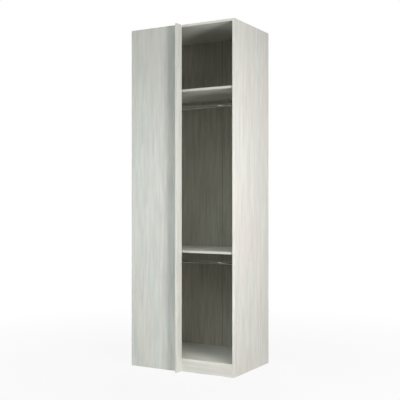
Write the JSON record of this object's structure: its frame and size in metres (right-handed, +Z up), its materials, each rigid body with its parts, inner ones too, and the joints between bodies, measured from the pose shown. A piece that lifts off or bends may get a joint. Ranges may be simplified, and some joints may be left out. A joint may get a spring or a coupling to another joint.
{
  "type": "corner wardrobe",
  "caption": "Tall open corner wardrobe with a blind front panel, a projecting post, shelves and hanging rails",
  "frame": {"origin": "bottom centre of the whole wardrobe, on the floor", "axes": "+Z up, the open front and the post face -Y, and the blind panel is on the -X side"},
  "size_m": [0.82, 0.608, 2.4],
  "materials": {
    "decor_board": "light grey melamine with a fine grain",
    "edge_band": "grained edge band",
    "back_sheet": "thin decor sheet",
    "rail_chrome": "polished",
    "plated_steel": "zinc plated",
    "zinc_casting": "bare casting",
    "beech": "bare",
    "black_plastic": "moulded",
    "light_plastic": "moulded"
  },
  "bodies": {
    "carcass": {"access_caps": "light_plastic", "back_joint_strip": "back_sheet", "back_sheet_left": "back_sheet", "back_sheet_right": "back_sheet", "back_sheet_screws": "plated_steel", "blind_angle_screws": "plated_steel", "blind_front_panel": "decor_board", "blind_panel_angles": "plated_steel", "blind_panel_cam_locks": "zinc_casting", "blind_panel_edge_band": "edge_band", "bottom_edge_band": "edge_band", "bottom_panel": "decor_board", "cam_bolts": "plated_steel", "cam_caps": "light_plastic", "cam_locks": "zinc_casting", "corner_post": "decor_board", "foot_bracket_screws": "plated_steel", "foot_brackets": "black_plastic", "front_plinth": "decor_board", "left_side_edge_band": "edge_band", "left_side_panel": "decor_board", "lower_hanging_rail": "rail_chrome", "lower_rail_sockets": "rail_chrome", "middle_shelf": "decor_board", "middle_shelf_edge_band": "edge_band", "post_edge_band": "edge_band", "rail_socket_screws": "plated_steel", "rear_plinth": "decor_board", "right_side_edge_band": "edge_band", "right_side_panel": "decor_board", "shelf_pins": "plated_steel", "top_edge_band": "edge_band", "top_panel": "decor_board", "upper_hanging_rail": "rail_chrome", "upper_rail_sockets": "rail_chrome", "upper_shelf": "decor_board", "upper_shelf_edge_band": "edge_band", "wall_angle_screws": "plated_steel", "wall_angles": "plated_steel", "wooden_dowels": "beech"},
    "front_left_foot": {"levelling_spindle_front_left": "plated_steel", "levelling_pad_front_left": "black_plastic"},
    "front_right_foot": {"levelling_spindle_front_right": "plated_steel", "levelling_pad_front_right": "black_plastic"},
    "rear_left_foot": {"levelling_spindle_rear_left": "plated_steel", "levelling_pad_rear_left": "black_plastic"},
    "rear_right_foot": {"levelling_spindle_rear_right": "plated_steel", "levelling_pad_rear_right": "black_plastic"}
  },
  "joints": [
    {"name": "front_left_foot_travel", "type": "slide", "parent": "carcass", "child": "front_left_foot", "axis": [0, 0, 1], "range_m": [-0.015, 0]},
    {"name": "front_right_foot_travel", "type": "slide", "parent": "carcass", "child": "front_right_foot", "axis": [0, 0, 1], "range_m": [-0.015, 0]},
    {"name": "rear_left_foot_travel", "type": "slide", "parent": "carcass", "child": "rear_left_foot", "axis": [0, 0, 1], "range_m": [-0.015, 0]},
    {"name": "rear_right_foot_travel", "type": "slide", "parent": "carcass", "child": "rear_right_foot", "axis": [0, 0, 1], "range_m": [-0.015, 0]}
  ]
}
